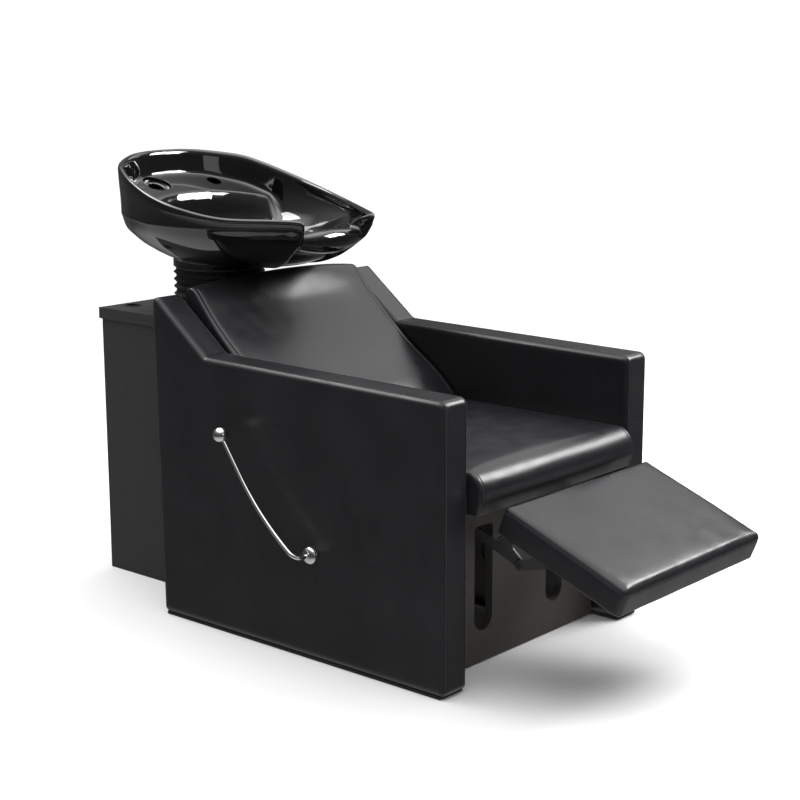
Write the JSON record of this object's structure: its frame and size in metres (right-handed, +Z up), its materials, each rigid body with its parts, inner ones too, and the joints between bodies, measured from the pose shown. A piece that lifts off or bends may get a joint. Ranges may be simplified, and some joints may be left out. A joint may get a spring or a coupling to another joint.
{
  "type": "shampoo backwash unit",
  "caption": "Salon shampoo backwash unit: padded armchair with lever-worked legrest, rear plumbing cabinet and tilting basin with neck rest on a bellows-covered column.",
  "frame": {"origin": "centre of the chair's four floor-fixing holes, on the floor plane under the seat", "axes": "+Z up; -Y the way the sitter faces; +X to the sitter's left; X = 0 is the middle plane"},
  "size_m": [0.732, 1.4715, 0.9652],
  "materials": {
    "leatherette": "satin",
    "cushion_leatherette": "satin",
    "timber": "matte",
    "black_laminate": "matte",
    "black_plastic": "matte",
    "bush_nylon": "matte",
    "black_steel": "satin",
    "zinc_steel": "satin",
    "lever_chrome": "polished",
    "black_rubber": "matte",
    "black_glaze": "gloss"
  },
  "bodies": {
    "chair": {"anchor_plates": "black_steel", "arm_core_left": "timber", "arm_core_right": "timber", "arm_cover_left": "leatherette", "arm_cover_right": "leatherette", "arm_plinth_strips": "black_plastic", "back_board": "timber", "back_cushion": "cushion_leatherette", "base_cross_rails": "black_steel", "base_rail_left": "black_steel", "base_rail_right": "black_steel", "basin_column": "black_steel", "bellows": "black_rubber", "cabinet_lid": "black_laminate", "cabinet_rear_panel": "black_laminate", "cabinet_screws": "zinc_steel", "cabinet_side_left": "black_laminate", "cabinet_side_right": "black_laminate", "column_foot": "black_steel", "front_fascia": "black_laminate", "lever_arm_bush": "bush_nylon", "lid_grommet": "black_plastic", "mechanism_bushes": "bush_nylon", "mechanism_plate_left": "black_steel", "mechanism_plate_right": "black_steel", "rear_panel": "black_laminate", "seat_board": "timber", "seat_cushion": "cushion_leatherette", "support_cleats": "timber", "tilt_yoke": "black_steel", "waste_hose": "black_rubber", "waste_pipe": "black_plastic"},
    "swing_arm": {"swing_shaft": "black_steel", "swing_arm_left": "black_steel", "swing_arm_right": "black_steel", "swing_crank": "black_steel", "knee_pins": "zinc_steel"},
    "lower_link": {"lower_link_left": "black_steel", "lower_link_right": "black_steel"},
    "upper_link": {"upper_link_left": "black_steel", "upper_link_right": "black_steel"},
    "legrest": {"legrest_cushion": "cushion_leatherette", "legrest_board": "black_laminate", "legrest_bracket_left": "black_steel", "legrest_bracket_right": "black_steel", "legrest_pins": "zinc_steel", "legrest_screws": "zinc_steel"},
    "lever": {"lever_rod": "lever_chrome", "lever_hub": "lever_chrome", "lever_knob": "lever_chrome", "lever_shaft": "zinc_steel", "lever_crank": "black_steel"},
    "drive_rod": {"drive_rod": "black_steel"},
    "basin": {"basin_bowl": "black_glaze", "basin_saddle": "black_steel", "saddle_screws": "zinc_steel", "tilt_pins": "zinc_steel", "drain_flange": "lever_chrome", "drain_tailpipe": "black_plastic"},
    "strainer": {"drain_strainer": "lever_chrome"}
  },
  "joints": [
    {"name": "legrest_swing", "type": "hinge", "parent": "chair", "child": "swing_arm", "pos_m": [0, -0.275, 0.279], "axis": [1, 0, 0], "range_deg": [0, 69.4]},
    {"name": "lower_knee", "type": "hinge", "parent": "swing_arm", "child": "lower_link", "pos_m": [0, -0.412, 0.222], "axis": [1, 0, 0], "range_deg": [-117, 0]},
    {"name": "upper_knee", "type": "hinge", "parent": "swing_arm", "child": "upper_link", "pos_m": [0, -0.365, 0.262], "axis": [1, 0, 0], "range_deg": [-117, 0]},
    {"name": "legrest_pivot", "type": "hinge", "parent": "lower_link", "child": "legrest", "pos_m": [0, -0.525, 0.25], "axis": [1, 0, 0], "range_deg": [0, 117]},
    {"name": "lever_turn", "type": "hinge", "parent": "chair", "child": "lever", "pos_m": [0, -0.0575, 0.221], "axis": [1, 0, 0], "range_deg": [0, 69.4]},
    {"name": "rod_pivot", "type": "hinge", "parent": "lever", "child": "drive_rod", "pos_m": [-0.1745, -0.07356, 0.19806], "axis": [1, 0, 0], "range_deg": [-69.4, 0]},
    {"name": "basin_tilt", "type": "hinge", "parent": "chair", "child": "basin", "pos_m": [0, 0.546, 0.662], "axis": [-1, 0, 0], "range_deg": [0, 18], "deforming": ["bellows", "waste_hose"]},
    {"name": "strainer_lift", "type": "slide", "parent": "basin", "child": "strainer", "axis": [0, 0, 1], "range_m": [0, 0.15]}
  ],
  "couplings": [
    {"joint": "lower_knee", "follows": "legrest_swing", "ratio": -1.6816},
    {"joint": "upper_knee", "follows": "legrest_swing", "ratio": -1.6816},
    {"joint": "legrest_pivot", "follows": "legrest_swing", "ratio": 1.6816},
    {"joint": "lever_turn", "follows": "legrest_swing", "ratio": 1},
    {"joint": "rod_pivot", "follows": "legrest_swing", "ratio": -1}
  ]
}
